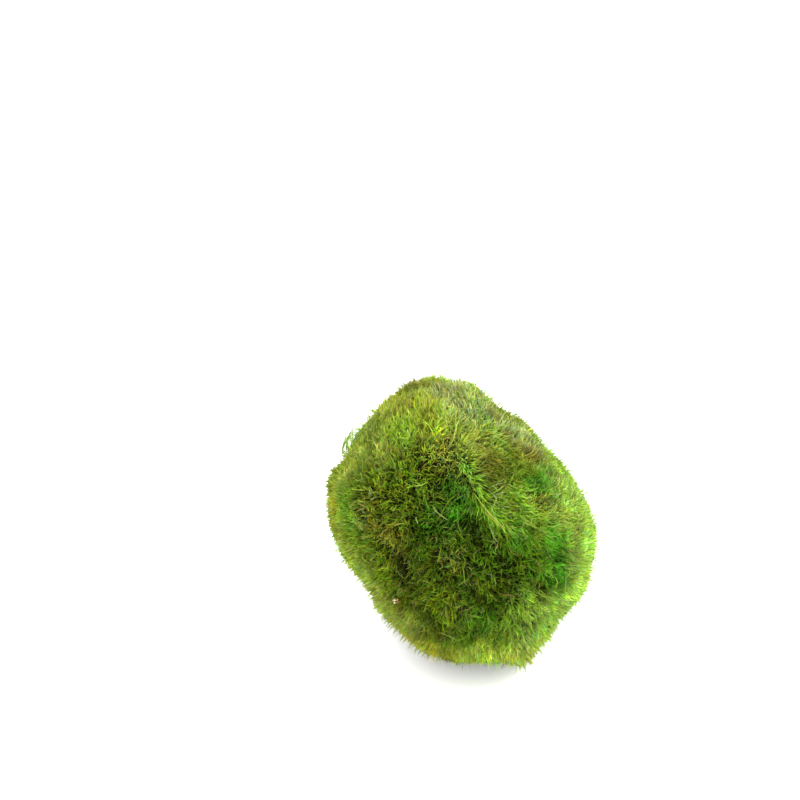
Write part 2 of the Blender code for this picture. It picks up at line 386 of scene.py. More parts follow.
# Their roots are darker, as painted shade.
STRAY_ROOT_SHADE = 0.6

# The long filaments: their height over the tips' surface at shares of their length
LONG_POINTS = 8
LONG_SHARES = (0.0, 0.3, 1.0)
LONG_HEIGHTS = (-0.9 * MM, 0.25 * MM, 0.05 * MM)
LONG_RADIUS_RANGE = (0.09 * MM, 0.12 * MM)
# Their roots are darker, as painted shade.
LONG_ROOT_SHADE = 0.7

# The sprig: how far its strands start and end from their stem, across the view and along it, how
# much of the stem they follow, and how deep they root
SPRIG_POINTS = 9
SPRIG_START = 0.15 * MM
SPRIG_DRIFT = 0.25 * MM
SPRIG_DRIFT_ALONG = 0.9 * MM
SPRIG_SHARE_RANGE = (0.5, 1.0)
SPRIG_ROOT = 1.2 * MM
SPRIG_CURL_RANGE = (0.15 * MM, 0.5 * MM)
SPRIG_RADIUS_RANGE = (0.06 * MM, 0.09 * MM)
SPRIG_LIGHT = (0.1, 0.3)
# Their roots are darker, as painted shade.
SPRIG_ROOT_SHADE = 0.9

# The pile is joined into one piece for each sector, keeps off the grain of sand, and stays above
# the surface that the ball rests on
SECTORS = 5
GRAIN_CLEARING = 0.75 * MM
FLOOR_CLEARANCE = 0.12 * MM

# A filament's cell of its piece's map: its margin, and the root's cap below the sides
CELL_MARGIN = 0.06
CAP_HEIGHT = 0.1
CAP_PLACES = ((0.0, 0.0), (0.66, 0.0), (0.33, 0.08))

# Surfaces. Noise scales are per metre, and the noise stays within NOISE_SPAN.
NOISE_SPAN = (0.3, 0.7)
Finish = namedtuple("Finish", "gloss_scale roughness relief_scale detail strength height specular")
PILE_FINISH = Finish(2500.0, (0.45, 0.70), 9000.0, 2.0, 0.25, 0.02 * MM, 0.06)
MAT_FINISH = Finish(1500.0, (0.75, 0.95), 2600.0, 4.0, 0.80, 0.15 * MM, 0.05)
GRAIN_FINISH = Finish(4000.0, (0.35, 0.60), 5000.0, 3.0, 0.50, 0.05 * MM, 0.50)
CELL_SCALE = 1600.0
NOISE_DETAIL = 2.0
CELL_LIGHT = (0.88, 1.12)
LIGHT_THROUGH = 0.45

# Colours that change with noise: its scale and detail, where each colour is full, and the colours
Mottle = namedtuple("Mottle", "scale detail stops colours")
# The mat's near-black colours are painted shade of the deep pile.
MAT_SHADE_MOTTLE = Mottle(700.0, 5.0, (0.35, 0.65), ((16, 20, 5), (44, 42, 12)))
GRAIN_MOTTLE = Mottle(2200.0, 2.0, (0.46, 0.54), ((84, 44, 18), (214, 200, 132)))

# The floor glows a little, as a light table does
FLOOR_HALF_SIDE = 6.0
FLOOR_WHITE = (0.92, 0.92, 0.92, 1.0)
FLOOR_ROUGHNESS = 0.9
FLOOR_SPECULAR = 0.1
FLOOR_GLOW = 0.3

# Square lamps: name, place and watts
LAMP_SIDE = 0.7
LAMPS = (("overhead", (-0.12, 0.0, 0.75), 5.0), ("right", (0.55, 0.0, 0.35), 4.0))

# The white room is dimmer on the side that the picture was taken from, and dimmest where it faces
# that way by DIMMEST
WHITE = (1.0, 1.0, 1.0, 1.0)
DIM_SIDE = (0.0, -math.cos(VIEW_ELEVATION), math.sin(VIEW_ELEVATION))
DIMMEST = 0.9
BRIGHT_STRENGTH = 2.6
DIM_STRENGTH = 1.1


def linear(colour):
    """An sRGB colour of 0 to 255 as linear values."""
    share = np.array(colour, float) / 255.0
    return np.where(share <= 0.04045, share / 12.92, ((share + 0.055) / 1.055) ** 2.4)


def unit(vectors):
    """The vectors scaled to length 1."""
    length = np.linalg.norm(vectors, axis=-1, keepdims=True)
    return vectors / np.maximum(length, 1e-12)


def flattened(vectors, normals):
    """The part of each vector that lies along the surface with that normal."""
    return vectors - np.sum(vectors * normals, axis=-1, keepdims=True) * normals


def share_between(values, span):
    """How far each value lies along a span, from 0 to 1."""
    low, high = span
    return np.clip((values - low) / (high - low), 0.0, 1.0)


def by_tangle(tangles, span):
    """A value between a pair's first, where the pile is combed, and its last, where it is tangled."""
    combed, tangled = span
    return combed + (tangled - combed) * tangles


def wave_field(points, size, rng):
    """A smooth random field of about -1 to 1 whose features measure size: a sum of plane waves."""
    ways = unit(rng.normal(size=(WAVE_COUNT, 3))) * (2.0 * np.pi / size)
    ways *= rng.uniform(*WAVE_RANGE, size=(WAVE_COUNT, 1))
    phases = rng.uniform(0.0, 2.0 * np.pi, size=WAVE_COUNT)
    return np.cos(points @ ways.T + phases).sum(axis=1) * math.sqrt(2.0 / WAVE_COUNT)


def wave_vectors(points, size, rng):
    """Three such fields as a vector field."""
    return np.stack([wave_field(points, size, rng) for _ in range(3)], axis=1)


def summed_waves(points, waves, rng):
    """The sum of random fields, each given as its size in millimetres and its height."""
    return sum(wave_field(points, size * MM, rng) * height for size, height in waves)


class Envelope:
    """The CAD ball's surface, which the filament tips reach."""

    def __init__(self, node):
        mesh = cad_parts[node].data
        points = np.empty(len(mesh.vertices) * 3)
        mesh.vertices.foreach_get("co", points)
        mesh.calc_loop_triangles()
        corners = np.empty(len(mesh.loop_triangles) * 3, dtype=np.int64)
        mesh.loop_triangles.foreach_get("vertices", corners)
        keys = np.round(points.reshape(-1, 3), MERGED_DIGITS)
        self.points, merged = np.unique(keys, axis=0, return_inverse=True)
        self.triangles = merged.reshape(-1)[corners].reshape(-1, 3)
        first, second, third = (self.points[self.triangles[:, i]] for i in range(3))
        areas = np.cross(second - first, third - first)
        self.normals = np.zeros_like(self.points)
        for i in range(3):
            np.add.at(self.normals, self.triangles[:, i], areas)
        self.normals = unit(self.normals)
        self.tree = BVHTree.FromPolygons(self.points.tolist(), self.triangles.tolist())
        self.middle = (self.points.min(axis=0) + self.points.max(axis=0)) / 2.0

    def nearest(self, place):
        """The point of the surface that is nearest to a place."""
        return np.array(self.tree.find_nearest(Vector(place))[0])

    def outwards(self, directions):
        """Surface points and smooth normals in those directions from the middle."""
        middle = Vector(self.middle)
        hits = [self.tree.ray_cast(middle, Vector(way)) for way in directions]
        places = np.array([hit[0] for hit in hits])
        corners = self.triangles[[hit[2] for hit in hits]]
        spots = self.points[corners] - places[:, None]
        sides = [np.cross(spots[:, (i + 1) % 3], spots[:, (i + 2) % 3]) for i in range(3)]
        shares = np.stack([np.linalg.norm(side, axis=1) for side in sides], axis=1)
        shares /= shares.sum(axis=1, keepdims=True)
        normals = (self.normals[corners] * shares[:, :, None]).sum(axis=1)
        return places, unit(normals)


class Eye:
    """The photograph's camera, from the place of the ball in the picture."""

    def __init__(self, middle):
        self.depth = PHOTO_SIZE / 2.0 * PIXEL / (SENSOR / 2.0 / LENS)
        ball = self.ray(BALL_PIXEL)
        sight = Vector((0.0, math.cos(VIEW_ELEVATION), -math.sin(VIEW_ELEVATION)))
        turn = ball.normalized().rotation_difference(Vector((0.0, 0.0, -1.0)))
        self.rotation = sight.to_track_quat("-Z", "Y") @ turn
        self.place = Vector(middle) - sight * ball.length
        self.near = -np.array(sight)

    def ray(self, pixel):
        """The way to a pixel in the camera's own axes."""
        half = PHOTO_SIZE / 2.0
        return Vector(((pixel[0] - half) * PIXEL, (half - pixel[1]) * PIXEL, -self.depth))

    def way(self, right, up):
        """A direction in the picture as a direction of the world."""
        return np.array(self.rotation @ Vector((right, up, 0.0)))

    def spot(self, pixel, envelope):
        """The point of the ball that shows at a pixel."""
        way = (self.rotation @ self.ray(pixel)).normalized()
        hit = envelope.tree.ray_cast(self.place, way)[0]
        if hit is None:
            hit = envelope.nearest(self.place + way * self.depth)
        return np.array(hit)

    def beside(self, pixel, place):
        """The point that shows at a pixel and is as far away as a place."""
        way = (self.rotation @ self.ray(pixel)).normalized()
        return np.array(self.place + way * way.dot(Vector(place) - self.place))

    def make_camera(self):
        """The camera that sees the ball as the photograph does."""
        data = bpy.data.cameras.new("camera")
        data.lens = LENS
        data.sensor_width = SENSOR
        data.clip_start = CLIP_START
        data.clip_end = CLIP_END
        camera = add_object("camera", data)
        camera.location = self.place
        camera.rotation_mode = "QUATERNION"
        camera.rotation_quaternion = self.rotation
        bpy.context.scene.camera = camera


def smooth_path(corners, share):
    """Points along a smooth curve through the corners, at shares of 0 to 1 of its way."""
    corners = np.array(corners)
    knots = np.linspace(0.0, 1.0, len(corners))
    slopes = np.gradient(corners, knots, axis=0)
    start = np.clip(np.searchsorted(knots, share, side="right") - 1, 0, len(knots) - 2)
    end = start + 1
    span = (knots[end] - knots[start])[:, None]
    t = (share - knots[start])[:, None] / span
    curve = (2.0 * t ** 3 - 3.0 * t ** 2 + 1.0) * corners[start]
    curve += (3.0 * t ** 2 - 2.0 * t ** 3) * corners[end]
    curve += (t ** 3 - 2.0 * t ** 2 + t) * span * slopes[start]
    return curve + (t ** 3 - t ** 2) * span * slopes[end]


def even_directions(count, rng):
    """Directions spread evenly over the sphere, each moved a little."""
    step = np.arange(count) + 0.5
    height = 1.0 - 2.0 * step / count
    turn = step * np.pi * (3.0 - math.sqrt(5.0))
    level = np.sqrt(1.0 - height ** 2)
    ways = np.stack((level * np.cos(turn), level * np.sin(turn), height), axis=1)
    return unit(ways + rng.normal(size=ways.shape) * DIRECTION_JITTER / math.sqrt(count))


def direction(azimuth, elevation):
    """The direction at an azimuth from the front, towards the right, and an elevation."""
    around = math.radians(azimuth)
    above = math.radians(elevation)
    level = math.cos(above)
    return level * math.sin(around), -level * math.cos(around), math.sin(above)


Growth = namedtuple("Growth", "colour lay lean tangle frost raised")


class Pelt:
    """What the pile is like at each place: its colour, and how it leans and tangles."""

    def __init__(self, envelope, eye, seed):
        regions = []
        for pixel, colour, tone_and_light, lay, lean, tangle in SEEN_REGIONS:
            spot = eye.spot(pixel, envelope)
            regions.append((spot, linear(colour) * tone_and_light, eye.way(*lay), lean * MM, tangle))
        for angles, colour, lean, tangle in HIDDEN_REGIONS:
            spot = envelope.outwards([direction(*angles)])[0][0]
            regions.append((spot, linear(colour), (0.0, 0.0, -1.0), lean * MM, tangle))
        columns = [np.array(column) for column in zip(*regions)]
        self.spots, self.colours, lays, self.leans, self.tangles = columns
        _, normals = envelope.outwards(unit(self.spots - envelope.middle))
        self.lays = unit(flattened(lays, normals))
        self.glinting = []
        for pixel, radius, share in GLINT_SPOTS:
            self.glinting.append((eye.spot(pixel, envelope), radius * MM, share))
        self.lines = []
        for row in FEATURES:
            feature = Feature(*row)
            corners = [eye.spot(pixel, envelope) for pixel in feature.pixels]
            line = smooth_path(corners, np.linspace(0.0, 1.0, LINE_POINTS))
            self.lines.append((feature, line, unit(np.gradient(line, axis=0))))
        self.seed = seed

    def at(self, places):
        """The growth at each place."""
        rng = np.random.default_rng(self.seed)
        warped = places
        for size, reach in WANDER_WAVES:
            warped = warped + wave_vectors(places, size * MM, rng) * reach * MM
        gaps = np.linalg.norm(warped[:, None] - self.spots, axis=2)
        shares = 1.0 / (gaps ** 2 + REGION_BLEND ** 2) ** REGION_POWER
        shares /= shares.sum(axis=1, keepdims=True)
        frost = np.zeros(len(places))
        for spot, radius, share in self.glinting:
            frost += share * np.exp(-0.5 * (np.linalg.norm(warped - spot, axis=1) / radius) ** 2)
        colour, lay = shares @ self.colours, shares @ self.lays
        lean, tangle = shares @ self.leans, shares @ self.tangles
        raised = np.zeros(len(places))
        for feature, line, along in self.lines:
            gaps = np.linalg.norm(places[:, None] - line, axis=2)
            nearest = gaps.argmin(axis=1)
            near = np.exp(-0.5 * (gaps.min(axis=1) / (feature.width * MM)) ** 2)
            raised += feature.raised * MM * near
            colour += (linear(feature.colour) - colour) * (feature.strength * near)[:, None]
            combed = feature.combed * near
            lay += (along[nearest] - lay) * combed[:, None]
            lean += (COMBED_LEAN - lean) * combed
            tangle += (COMBED_TANGLE - tangle) * combed
        return Growth(colour, lay, lean, tangle, frost, raised)


# Filament axes with their radii and colours
Filaments = namedtuple("Filaments", "paths radii root_colours tip_colours")


def bent_paths(places, normals, ways, reach, depth, rise, share):
    """Filament axes, one row of points each: they leave the mat upright and lean over along ways,
    ending rise above the tips' surface."""
    up = 1.0 - (1.0 - share) ** RISE_POWER
    over = share ** LEAN_POWER
    height = -depth[:, None] + (depth + rise)[:, None] * up
    side = reach[:, None] * over
    paths = places[:, None] + normals[:, None] * height[:, :, None]
    return paths + ways[:, None] * side[:, :, None]


def curled(paths, normals, size, share, rng):
    """The paths with a loose twist of that size round each of them."""
    count = len(paths)
    first = unit(flattened(rng.normal(size=(count, 3)), normals))
    second = np.cross(normals, first) * rng.uniform(*CURL_FLATNESS_RANGE, (count, 1))
    turns = rng.uniform(*CURL_TURNS_RANGE, (count, 1)) * rng.choice((-1.0, 1.0), (count, 1))
    angles = 2.0 * np.pi * (turns * share + rng.random((count, 1)))
    reach = size[:, None] * share ** CURL_POWER
    twist = first[:, None] * (np.cos(angles) * reach)[:, :, None]
    twist += second[:, None] * (np.sin(angles) * reach)[:, :, None]
    return paths + twist


def lay_ways(places, normals, lays, tangles, rng):
    """The way each filament leans along the surface: its region's lay, more or less tangled."""
    drift = wave_vectors(places, DRIFT_SIZE, rng) * DRIFT_SHARE
    random = rng.normal(size=places.shape) * by_tangle(tangles, RANDOM_BY_TANGLE)[:, None]
    mixed = lays * by_tangle(tangles, LAY_BY_TANGLE)[:, None] + drift + random
    return unit(flattened(mixed, normals))


class Tufts:
    """The small tufts that neighbouring filaments are drawn into, the same for every layer."""

    def __init__(self, envelope, pelt, rng):
        self.places, self.normals = envelope.outwards(even_directions(TUFTS, rng))
        growth = pelt.at(self.places)
        tangles = growth.tangle
        self.ways = lay_ways(self.places, self.normals, growth.lay, tangles, rng)
        self.reach = growth.lean * rng.uniform(*TUFT_LEAN_RANGE, TUFTS)
        self.rise = rng.normal(0.0, TUFT_RISE, TUFTS) * by_tangle(tangles, UNEVEN_BY_TANGLE)
        self.grip = rng.uniform(*TUFT_GRIP_RANGE, TUFTS) * by_tangle(tangles, GRIP_BY_TANGLE)
        self.light = np.exp(rng.normal(0.0, TUFT_LIGHT, TUFTS))
        self.warmth = rng.normal(0.0, TUFT_WARMTH, TUFTS)
        self.tree = KDTree(TUFTS)
        for number, place in enumerate(self.places):
            self.tree.insert(place, number)
        self.tree.balance()

    def nearest(self, places):
        """The number of the tuft that is nearest to each place."""
        return np.array([self.tree.find(place)[1] for place in places])


def swell_height(places):
    """Long swells and short hollows in the tips' surface."""
    return summed_waves(places, SWELL_WAVES, np.random.default_rng(SEED + 1)) * MM


def filament_colours(places, growth, tuft_light, tuft_warmth, rng):
    """A colour for each filament: its region's, varied by patch, by tuft and by filament."""
    count = len(places)
    tangles = growth.tangle
    patch = np.random.default_rng(SEED + 3)
    light = summed_waves(places, LIGHT_WAVES, patch) * by_tangle(tangles, LIGHT_WAVES_BY_TANGLE)
    warmth = summed_waves(places, WARMTH_WAVES, patch)
    light += rng.normal(0.0, 1.0, count) * by_tangle(tangles, LIGHT_BY_TANGLE)
    light = tuft_light * np.exp(light)
    warmth += tuft_warmth + rng.normal(0.0, 1.0, count) * by_tangle(tangles, WARMTH_BY_TANGLE)
    blue = np.exp(rng.normal(BLUE_MEAN, BLUE_SPREAD, count))
    tint = np.stack((1.0 + warmth, np.ones(count), blue), axis=1)
    tips = growth.colour * light[:, None] * tint
    pick = rng.random(count)
    straw = pick < STRAW_SHARE
    straw_light = np.minimum(light[straw], STRAW_BRIGHTEST)[:, None]
    tips[straw] += (linear(STRAW) * straw_light - tips[straw]) * STRAW_BLEND
    brown_share = by_tangle(tangles, BROWN_BY_TANGLE) + BROWN_IN_GLINT_SPOTS * growth.frost
    brown = pick > 1.0 - brown_share
    tips[brown] = linear(BROWN) * light[brown][:, None]
    # Filaments in the glint spots are painted pale grey as glints.
    glinting = rng.random(count) < growth.frost
    tips[glinting] = linear(GLINT_GREY) * light[glinting][:, None]
    return tips


def kinds(growth):
    """How tangled, combed and short the pile is at each place: three shares that add up to 1."""
    tangled = share_between(growth.tangle, TANGLE_SPAN)
    combed = share_between(growth.lean, LEAN_SPAN) * (1.0 - tangled)
    return np.stack((tangled, combed, 1.0 - tangled - combed), axis=1)


def grow(envelope, pelt, tufts, layer, rng):
    """A layer of filaments all over the ball, drawn together in tufts."""
    places, normals = envelope.outwards(even_directions(layer.tried, rng))
    growth = pelt.at(places)
    kept = rng.random(layer.tried) < kinds(growth) @ np.array(layer.shares)
    places, normals = places[kept], normals[kept]
    growth = Growth(*(values[kept] for values in growth))
    count = len(places)
    tangles = growth.tangle
    share = np.linspace(0.0, 1.0, layer.levels) ** POINTS_POWER
    tuft = tufts.nearest(places)

    drop = rng.gamma(DROP_SHAPE, DROP_SIZE, count) * by_tangle(tangles, UNEVEN_BY_TANGLE)
    drop += rng.uniform(*layer.sunk, count) * MM
    rise = swell_height(places) * by_tangle(tangles, SWELL_BY_TANGLE) + growth.raised
    rise += TIPS_ABOVE - drop
    ways = lay_ways(places, normals, growth.lay, tangles, rng)
    reach = growth.lean * rng.uniform(*LEAN_RANGE, count) * layer.reach
    depth = PILE_DEPTH * rng.uniform(*DEPTH_RANGE, count)
    own = bent_paths(places, normals, ways, reach, depth, rise, share)
    shared = (tufts.places, tufts.normals, tufts.ways, tufts.reach * layer.reach)
    shared = [values[tuft] for values in shared]
    guide = bent_paths(*shared, depth, rise + tufts.rise[tuft], share)
    grip = tufts.grip[tuft][:, None] * rng.uniform(*GRIP_RANGE, (count, 1))
    grip = grip * share ** GRIP_POWER
    paths = own + (guide - own) * grip[:, :, None]
    size = by_tangle(tangles ** 2, CURL_BY_TANGLE) * rng.uniform(*CURL_RANGE, count)
    paths = curled(paths, normals, size, share, rng)

    tips = filament_colours(places, growth, tufts.light[tuft], tufts.warmth[tuft], rng)
    # The sunk fill layer is darkened as painted shade.
    tips *= layer.brightness
    # Roots are painted darker, as the shade deep in the pile.
    roots = tips * np.interp(growth.colour[:, 1], ROOT_GREENS, ROOT_SHADE_BRIGHTNESS)[:, None]
    radii = rng.uniform(*layer.radius, count) * MM
    return Filaments(paths, radii, roots, tips)


def grow_long_strands(envelope, eye, rng):
    """The long filaments that stand out: they lie on the tips, with their first end in the pile."""
    share = np.linspace(0.0, 1.0, LONG_POINTS)
    height = np.interp(share, LONG_SHARES, LONG_HEIGHTS)
    paths = []
    for _, pixels in LONG_STRANDS:
        line = smooth_path([eye.spot(pixel, envelope) for pixel in pixels], share)
        outwards = unit(line - envelope.middle)
        paths.append(line + outwards * height[:, None])
    tips = np.array([linear(colour) for colour, _ in LONG_STRANDS])
    radii = rng.uniform(*LONG_RADIUS_RANGE, len(paths))
    return Filaments(np.array(paths), radii, tips * LONG_ROOT_SHADE, tips)


def grow_sprig(envelope, eye, rng):
    """The loose sprig that stands off the upper left edge, its strands rooted in the pile."""
    share = np.linspace(0.0, 1.0, SPRIG_POINTS)
    paths = []
    for stem in SPRIG_STEMS:
        root = envelope.nearest(eye.spot(stem[0], envelope))
        line = smooth_path([eye.beside(pixel, root) for pixel in stem], share)
        for _ in range(SPRIG_STRANDS):
            start = rng.normal(0.0, SPRIG_START, 3)
            drift = rng.normal(0.0, SPRIG_DRIFT, 3)
            drift += eye.near * rng.normal(0.0, SPRIG_DRIFT_ALONG)
            reached = share * rng.uniform(*SPRIG_SHARE_RANGE)
            strand = smooth_path(line[::2], reached)
            paths.append(strand + start + drift * reached[:, None])
    paths = np.array(paths)
    count = len(paths)
    outwards = unit(paths[:, 0] - envelope.middle)
    paths[:, 0] -= outwards * SPRIG_ROOT
    paths = curled(paths, outwards, rng.uniform(*SPRIG_CURL_RANGE, count), share, rng)
    tips = linear(THREAD) * np.exp(rng.normal(*SPRIG_LIGHT, (count, 1)))
    radii = rng.uniform(*SPRIG_RADIUS_RANGE, count)
    return Filaments(paths, radii, tips * SPRIG_ROOT_SHADE, tips)


def grow_strays(envelope, pelt, rng):
    """Long loose filaments that lie across the others."""
    directions = unit(rng.normal(size=(STRAYS, 3)))
    directions[:, 2] = np.maximum(directions[:, 2], LOWEST_STRAY)
    places, normals = envelope.outwards(unit(directions))
    growth = pelt.at(places)
    ways = lay_ways(places, normals, growth.lay, np.full(STRAYS, STRAY_TANGLE), rng)
    reach = rng.uniform(*STRAY_REACH_RANGE, STRAYS)
    rise = rng.uniform(*STRAY_RISE_RANGE, STRAYS)
    depth = np.full(STRAYS, STRAY_DEPTH)
    share = np.linspace(0.0, 1.0, STRAY_POINTS)
    paths = bent_paths(places, normals, ways, reach, depth, rise, share)
    paths = curled(paths, normals, rng.uniform(*STRAY_CURL_RANGE, STRAYS), share, rng)
    tips = growth.colour * np.exp(rng.normal(*STRAY_LIGHT, STRAYS))[:, None]
    tips += (linear(STRAW) - tips) * STRAY_STRAW
    tips[rng.random(STRAYS) < STRAY_BROWN] = linear(BROWN)
    radii = rng.uniform(*STRAY_RADIUS_RANGE, STRAYS)
    return Filaments(paths, radii, tips * STRAY_ROOT_SHADE, tips)


def clear_of_things(filaments, grain_middle):
    """Keeps the filaments off the grain of sand and above the surface the ball rests on."""
    paths = filaments.paths
    outer = paths[:, paths.shape[1] // 2:, :]
    gaps = np.linalg.norm(outer - grain_middle, axis=2).min(axis=1)
    kept = Filaments(*(values[gaps > GRAIN_CLEARING] for values in filaments))
    kept.paths[:, :, 2] = np.maximum(kept.paths[:, :, 2], FLOOR_CLEARANCE)
    return kept


# Meshes of filaments, one row each: points, colours and the root's turn round the ball. Faces
# and map places are the same for each.
Spikes = namedtuple("Spikes", "points colours turns faces map_places")


def spike_faces(rings):
    """Triangles of one filament and their places in a map of 0 to 1: a cap at the root, sides
    between the rings of points, and a pointed tip."""
    heights = np.linspace(CAP_HEIGHT, 1.0, rings + 1)
    faces = [(0, 2, 1)]
    map_places = [CAP_PLACES]
    for ring in range(rings):
        low, high = heights[ring], heights[ring + 1]
        for side in range(SIDES):
            a = ring * SIDES + side
            b = ring * SIDES + (side + 1) % SIDES
            left, right = side / SIDES, (side + 1) / SIDES
            if ring == rings - 1:
                faces += [(a, b, rings * SIDES)]
                map_places += [((left, low), (right, low), ((left + right) / 2.0, high))]
            else:
                faces += [(a, b, b + SIDES), (a, b + SIDES, a + SIDES)]
                map_places += [((left, low), (right, low), (right, high))]
                map_places += [((left, low), (right, high), (left, high))]
    return np.array(faces), np.array(map_places)


def make_spikes(filaments, middle, rng):
    """The filaments as closed, tapering, three-sided spikes."""
    paths = filaments.paths
    count, levels, _ = paths.shape
    rings = levels - 1
    along = unit(np.gradient(paths, axis=1))
    guide = rng.normal(size=(count, 1, 3))
    across = unit(flattened(np.broadcast_to(guide, along.shape), along))
    beside = np.cross(along, across)
    share = np.linspace(0.0, 1.0, levels)
    radius = filaments.radii[:, None] * (1.0 - TAPER * share ** 2)
    angles = 2.0 * np.pi * np.arange(SIDES) / SIDES
    ring = across[:, :, None] * np.cos(angles)[:, None]
    ring = ring + beside[:, :, None] * np.sin(angles)[:, None]
    ring = paths[:, :, None] + ring * radius[:, :, None, None]
    points = ring[:, :rings].reshape(count, rings * SIDES, 3)
    points = np.concatenate((points, paths[:, -1:, :]), axis=1)

    # Colours go from the painted root shade to the tip colour.
    shade = np.append(np.repeat(share[:rings], SIDES), 1.0)[:, None] ** SHADE_POWER
    colours = filaments.root_colours[:, None] * (1.0 - shade)
    colours = colours + filaments.tip_colours[:, None] * shade
    roots = paths[:, 0] - middle
    return Spikes(points, colours, np.arctan2(roots[:, 1], roots[:, 0]), *spike_faces(rings))


def sector_edges(batches):
    """The turns round the ball that part it into sectors with as many triangles each."""
    turns = np.concatenate([batch.turns for batch in batches])
    weights = np.concatenate([np.full(len(batch.turns), len(batch.faces)) for batch in batches])
    order = np.argsort(turns)
    filled = np.cumsum(weights[order]) / weights.sum()
    inner = [turns[order[np.searchsorted(filled, part / SECTORS)]] for part in range(1, SECTORS)]
    return [-math.inf, *inner, math.inf]


def join_spikes(batches, low, high):
    """Points, triangles, colours and map places of the filaments whose roots lie between two turns,
    with a cell of the map for each filament."""
    chosen = [(batch.turns >= low) & (batch.turns < high) for batch in batches]
    cells = math.ceil(math.sqrt(sum(int(picked.sum()) for picked in chosen)))
    joined = []
    cell, first = 0, 0
    for batch, picked in zip(batches, chosen):
        points, colours = batch.points[picked], batch.colours[picked]
        count, each, _ = points.shape
        triangles = batch.faces + (np.arange(count) * each)[:, None, None] + first
        numbers = cell + np.arange(count)
        corner = np.stack((numbers % cells, numbers // cells), axis=1)[:, None, None, :]
        inner = CELL_MARGIN + (1.0 - 2.0 * CELL_MARGIN) * batch.map_places
        map_places = (corner + inner) / cells
        arrays = (points, triangles, colours, map_places)
        joined.append([values.reshape(-1, values.shape[-1]) for values in arrays])
        cell += count
        first += count * each
    return [np.concatenate(arrays) for arrays in zip(*joined)]


def add_object(name, data):
    """A new object in the scene."""
    thing = bpy.data.objects.new(name, data)
    bpy.context.scene.collection.objects.link(thing)
    return thing


def mesh_from(build, name):
    """A mesh from a bmesh, which is freed."""
    mesh = bpy.data.meshes.new(name)
    build.to_mesh(mesh)
    build.free()
    return mesh


def pile_mesh(name, points, triangles, colours, map_places):
    """A mesh from arrays, with the filaments' colours and their map."""
    mesh = bpy.data.meshes.new(name)
    mesh.vertices.add(len(points))
    mesh.vertices.foreach_set("co", points.astype(np.float32).ravel())
    mesh.loops.add(triangles.size)
    mesh.loops.foreach_set("vertex_index", triangles.astype(np.int32).ravel())
    mesh.polygons.add(len(triangles))
    starts = np.arange(0, triangles.size, 3, dtype=np.int32)
    mesh.polygons.foreach_set("loop_start", starts)
    mesh.update(calc_edges=True)
    attribute = mesh.attributes.new("pile_colour", "FLOAT_COLOR", "POINT")
    rgba = np.ones((len(points), 4), np.float32)
    rgba[:, :3] = colours
    attribute.data.foreach_set("color", rgba.ravel())
    layer = mesh.uv_layers.new(name="OFBake")
    layer.data.foreach_set("uv", map_places.astype(np.float32).ravel())
    return mesh


def add_moss(mesh, material):
    """A smooth piece of moss that stands for the CAD ball."""
    mesh.shade_smooth()
    mesh.materials.append(material)
    piece = add_object(mesh.name, mesh)
    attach(piece, "root")
    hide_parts("moss_ball")


def make_pile(layers, middle, material, rng):
    """The filament layers as one piece for each sector round the ball."""
    batches = [make_spikes(filaments, middle, rng) for filaments in layers]
    edges = sector_edges(batches)
    for number, (low, high) in enumerate(zip(edges[:-1], edges[1:]), start=1):
        add_moss(pile_mesh(f"moss_pile_{number}", *join_spikes(batches, low, high)), material)


def make_mat(envelope, material, rng):
    """The felted mat that the filaments grow from, painted dark as the shade deep in the pile."""
    build = bmesh.new()
    bmesh.ops.create_icosphere(build, subdivisions=MAT_SUBDIVISIONS, radius=1.0)
    ways = np.array([vert.co.normalized() for vert in build.verts])
    places, normals = envelope.outwards(ways)
    depth = MAT_DEPTH * (1.0 + summed_waves(places, MAT_WAVES, rng))
    places -= normals * depth[:, None]
    places[:, 2] = np.maximum(places[:, 2], FLOOR_CLEARANCE)
    for vert, place in zip(build.verts, places):
        vert.co = place
    add_moss(mesh_from(build, "moss_mat_shade"), material)


